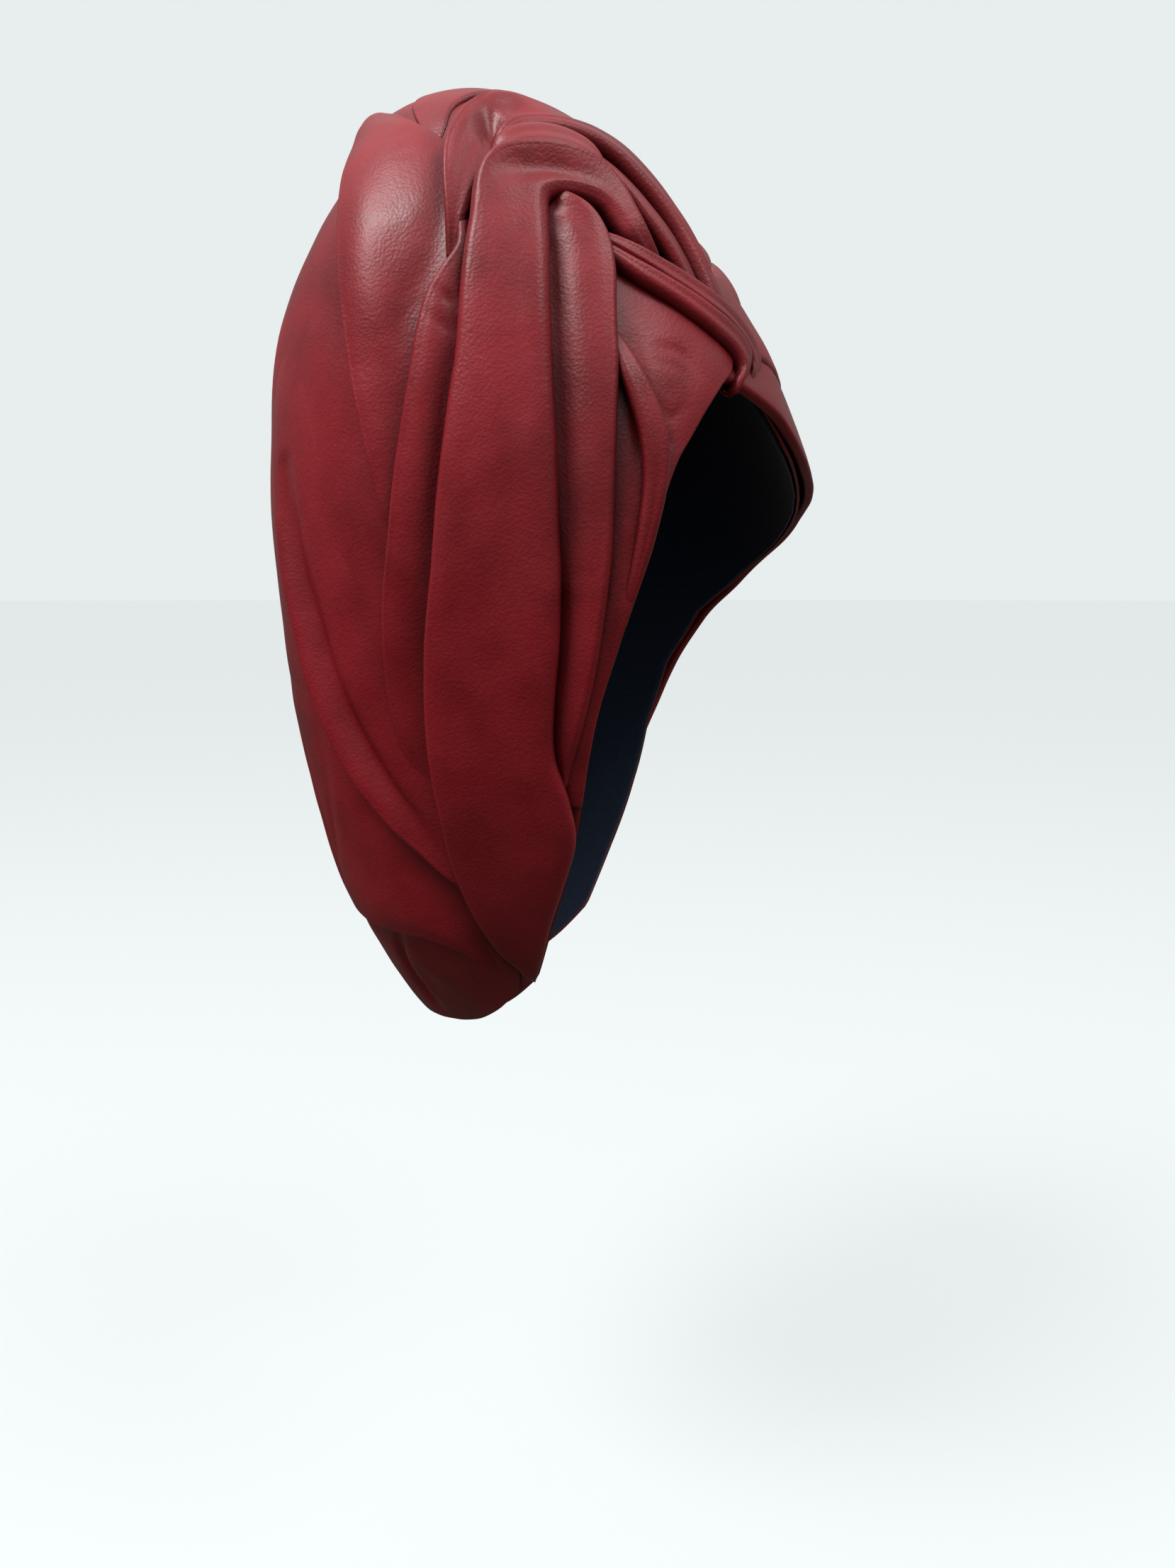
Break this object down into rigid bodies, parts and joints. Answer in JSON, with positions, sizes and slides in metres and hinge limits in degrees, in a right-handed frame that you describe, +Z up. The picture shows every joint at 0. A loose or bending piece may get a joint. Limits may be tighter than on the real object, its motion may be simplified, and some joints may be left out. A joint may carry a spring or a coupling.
{
  "type": "turban headwrap",
  "caption": "Pre-tied leather turban headwrap with pleated sides, a twisted knot over one temple, a gathered nape and a plain lining.",
  "frame": {"origin": "the inside of the crown at its top, where the head bears on the lining", "axes": "+Z up, -Y the way the wearer's face looks, +X to the wearer's left"},
  "size_m": [0.1868, 0.1607, 0.2749],
  "materials": {
    "leather": "soft burgundy red nappa leather, fine grain, low sheen",
    "lining": "plain navy woven lining"
  },
  "bodies": {
    "root": {"lining": "lining", "crown": "leather", "right_back_fold": "leather", "right_wrap": "leather", "right_front_band": "leather", "knot_loop": "leather", "top_twist": "leather", "crown_folds": "leather", "left_wrap": "leather", "left_front_arm": "leather", "nape_wrap": "leather"}
  },
  "joints": []
}
